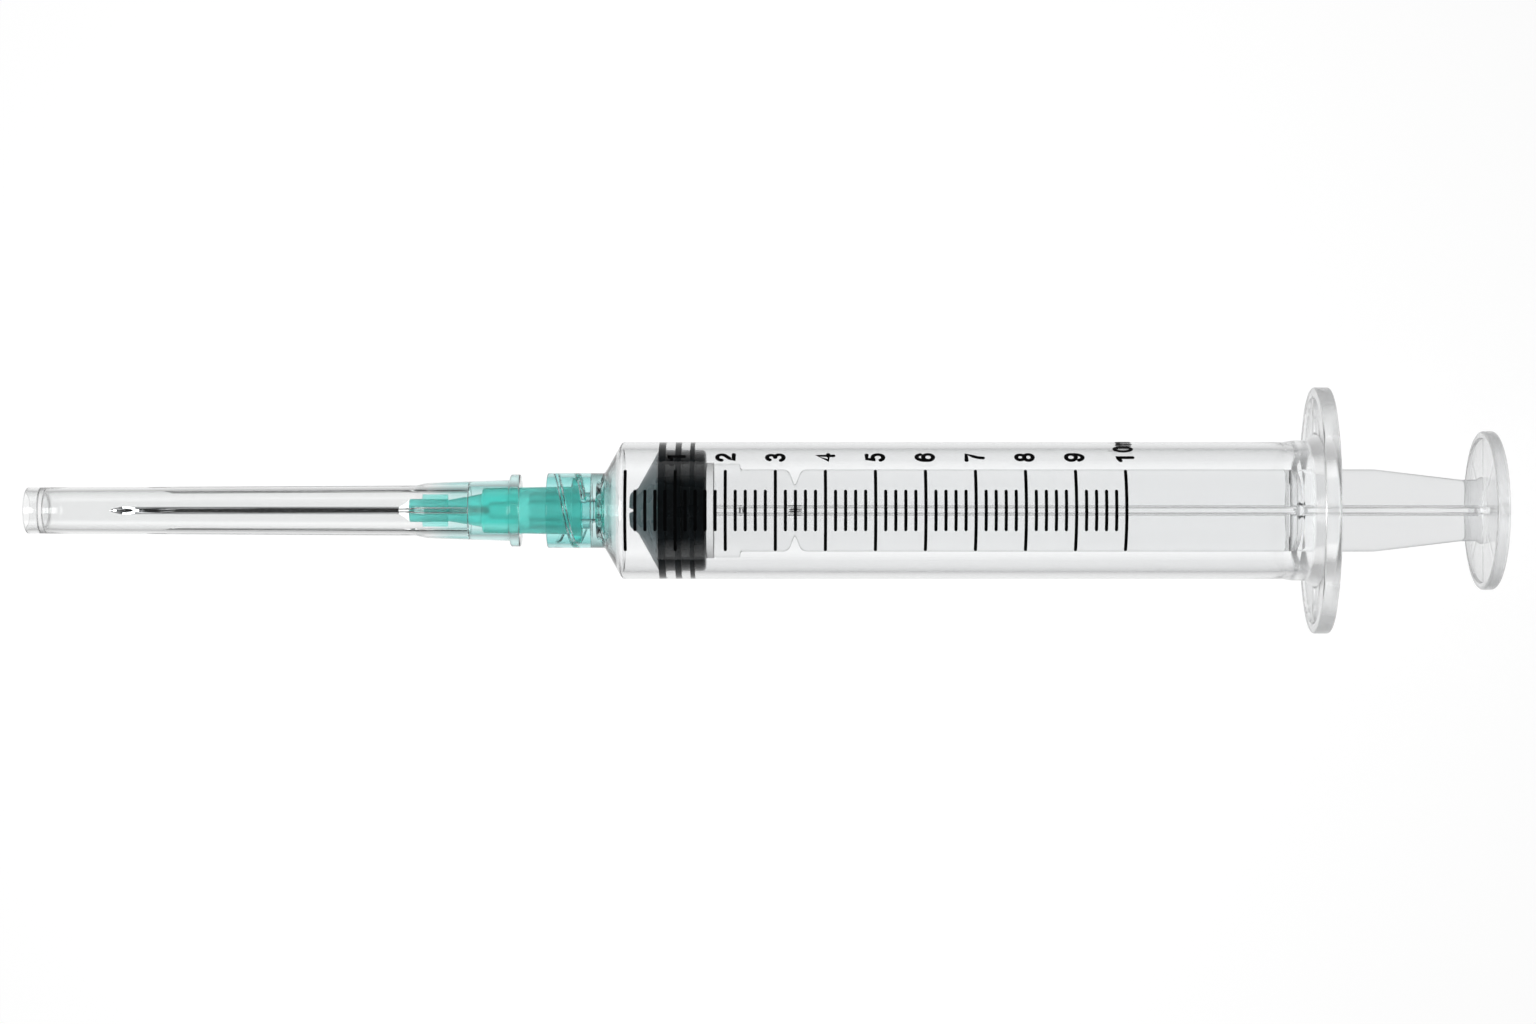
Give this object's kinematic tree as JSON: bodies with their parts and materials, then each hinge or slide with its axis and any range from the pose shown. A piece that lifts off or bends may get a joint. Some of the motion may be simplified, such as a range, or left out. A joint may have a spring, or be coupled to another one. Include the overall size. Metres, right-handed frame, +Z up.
{
  "type": "luer lock syringe",
  "caption": "Luer lock syringe with a printed scale, rubber stopper, ribbed plunger and a sheathed hypodermic needle that screws off.",
  "frame": {"origin": "on the barrel's axis at the zero line of the scale, where the cylinder of the bore begins", "axes": "+X along the axis from the needle to the thumb disc, Y along the long way of the finger flange, +Z up from the surface that the syringe lies on"},
  "size_m": [0.1746, 0.0292, 0.0204],
  "materials": {
    "barrel_clear": "clear polypropylene, glossy",
    "ink_black": "printed ink",
    "stopper_rubber": "smooth dark grey rubber with a little silicone oil",
    "plunger_clear": "clear polypropylene, slightly milky",
    "hub_teal": "translucent teal polypropylene",
    "cannula_steel": "drawn and polished stainless steel",
    "adhesive_white": "cured resin",
    "sheath_clear": "clear polypropylene, glossy"
  },
  "bodies": {
    "barrel": {"barrel": "barrel_clear", "graduation_scale": "ink_black"},
    "plunger": {"plunger_rod": "plunger_clear", "stopper": "stopper_rubber"},
    "needle_tube": {"cannula": "cannula_steel", "adhesive_bead": "adhesive_white"},
    "hub": {"needle_hub": "hub_teal"},
    "sheath": {"needle_sheath": "sheath_clear"}
  },
  "joints": [
    {"name": "plunger_slide", "type": "slide", "parent": "barrel", "child": "plunger", "axis": [1, 0, 0], "range_m": [-0.0037, 0.067]},
    {"name": "needle_advance", "type": "slide", "parent": "barrel", "child": "needle_tube", "axis": [-1, 0, 0], "range_m": [0, 0.0065]},
    {"name": "needle_unscrew", "type": "hinge", "parent": "needle_tube", "child": "hub", "pos_m": [-0.006, 0, 0], "axis": [-1, 0, 0], "range_deg": [0, 469]},
    {"name": "sheath_pull", "type": "slide", "parent": "hub", "child": "sheath", "axis": [-1, 0, 0], "range_m": [0, 0.055]}
  ],
  "couplings": [
    {"joint": "needle_unscrew", "follows": "needle_advance", "rad_per_m": 1256.6}
  ]
}
